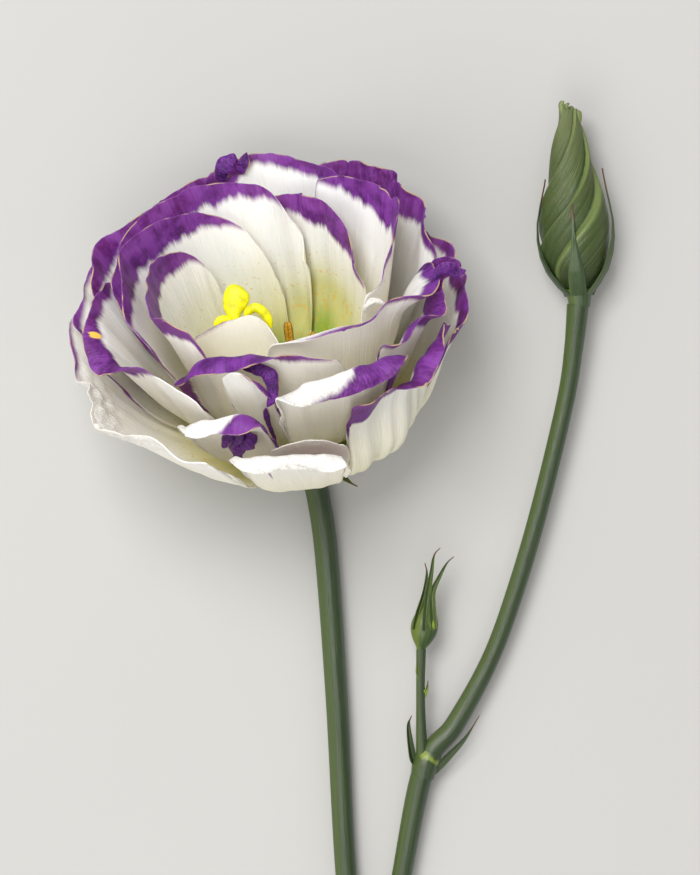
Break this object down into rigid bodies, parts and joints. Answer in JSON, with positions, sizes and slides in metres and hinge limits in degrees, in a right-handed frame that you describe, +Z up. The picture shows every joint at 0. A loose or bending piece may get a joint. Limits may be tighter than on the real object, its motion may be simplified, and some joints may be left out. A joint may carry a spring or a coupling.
{
  "type": "lisianthus flower",
  "caption": "Cut lisianthus that lies on its side: a ruffled double bloom, white with violet rims, and a side branch with a closed green bud and a young bud.",
  "frame": {"origin": "on the surface that the flower lies on, below the middle of its box", "axes": "+Z up from the surface; +Y along the stem, from its cut end towards the bud; +X from the bloom's side to the bud's side"},
  "size_m": [0.0988, 0.1953, 0.0534],
  "materials": {
    "petal": "satin white petal, cream to green at its foot, with a violet rim",
    "calyx_green": "matt green, brown at the sepals' tips",
    "stigma_yellow": "velvety yellow, green ovary",
    "anther_amber": "amber with dark seams, pale filaments",
    "stem_green": "waxy dark green",
    "bud_green": "satin green, paler along the petals' edges",
    "bud_calyx_green": "matt dark green, brown at the tips",
    "young_bud_green": "matt green"
  },
  "bodies": {
    "root": {"petal_heart_front": "petal", "petal_inner_back": "petal", "petal_inner_right": "petal", "petal_inner_left": "petal", "petal_inner_front_right": "petal", "petal_inner_back_left": "petal", "petal_inner_front": "petal", "petal_middle_back_left": "petal", "petal_small_front": "petal", "petal_middle_right": "petal", "petal_middle_left": "petal", "petal_middle_back": "petal", "petal_middle_front": "petal", "petal_outer_back_left": "petal", "petal_outer_back_right": "petal", "petal_middle_front_left": "petal", "petal_outer_front_right": "petal", "petal_outer_left": "petal", "petal_outer_right": "petal", "petal_small_low_front": "petal", "petal_low_left": "petal", "petal_low_front": "petal", "calyx": "calyx_green", "pistil": "stigma_yellow", "stamens": "anther_amber", "stem": "stem_green", "bud": "bud_green", "bud_calyx": "bud_calyx_green", "young_bud": "young_bud_green"}
  },
  "joints": []
}
